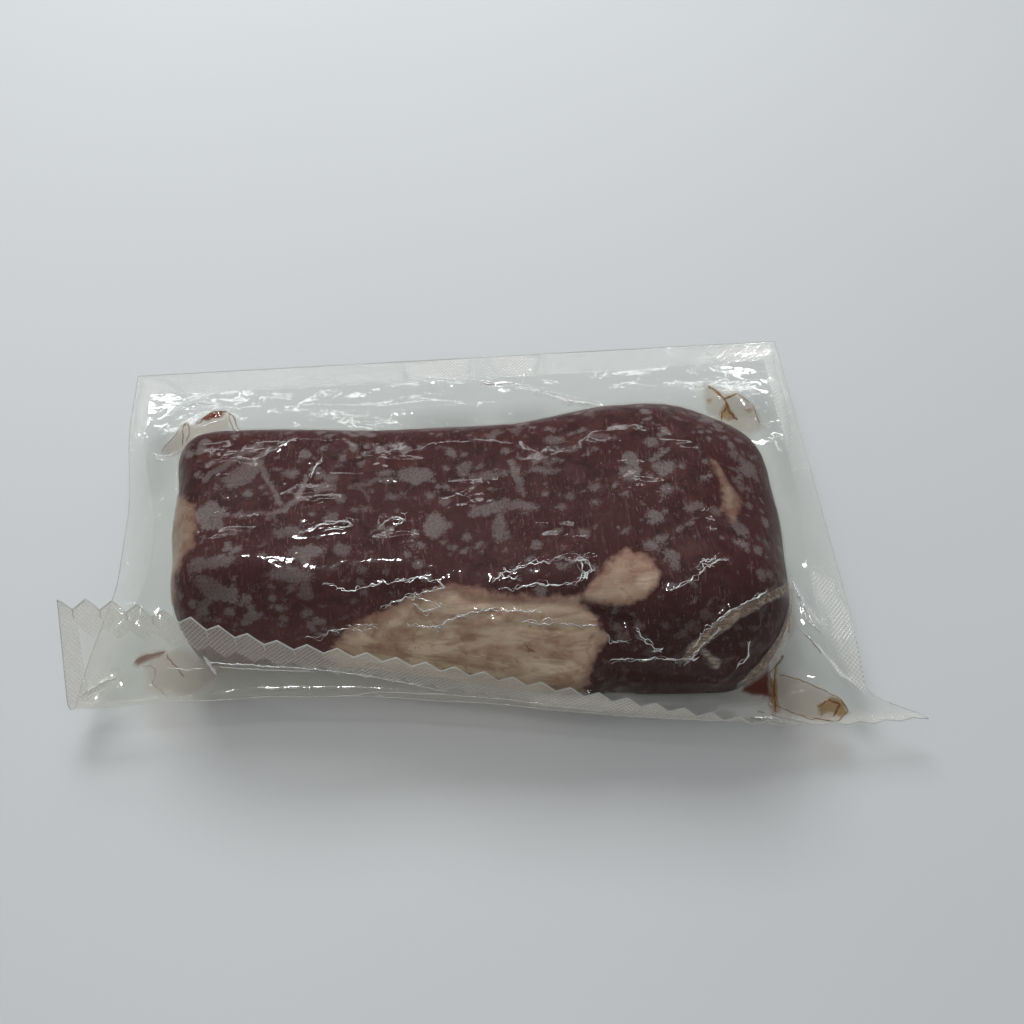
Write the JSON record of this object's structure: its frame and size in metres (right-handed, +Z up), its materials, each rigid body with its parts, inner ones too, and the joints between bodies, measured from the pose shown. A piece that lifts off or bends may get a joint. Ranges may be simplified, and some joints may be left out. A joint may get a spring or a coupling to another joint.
{
  "type": "vacuum-packed raw ribeye steak",
  "caption": "Thick raw ribeye block lying flat in a clear vacuum pouch with sealed rims and a pinked mouth that folds up against its front.",
  "frame": {"origin": "middle of the meat's flat foot, on the surface that the pack lies on", "axes": "+X along the length, from the narrow end to the wide end; +Y away from the folded mouth; +Z up"},
  "size_m": [0.2435, 0.1404, 0.0455],
  "materials": {
    "meat": "dark maroon frozen lean with a tan-pink fat cap, satin under its film",
    "film": "clear glossy film with embossed seal bands"
  },
  "bodies": {
    "root": {"steak": "meat", "pouch": "film"}
  },
  "joints": []
}
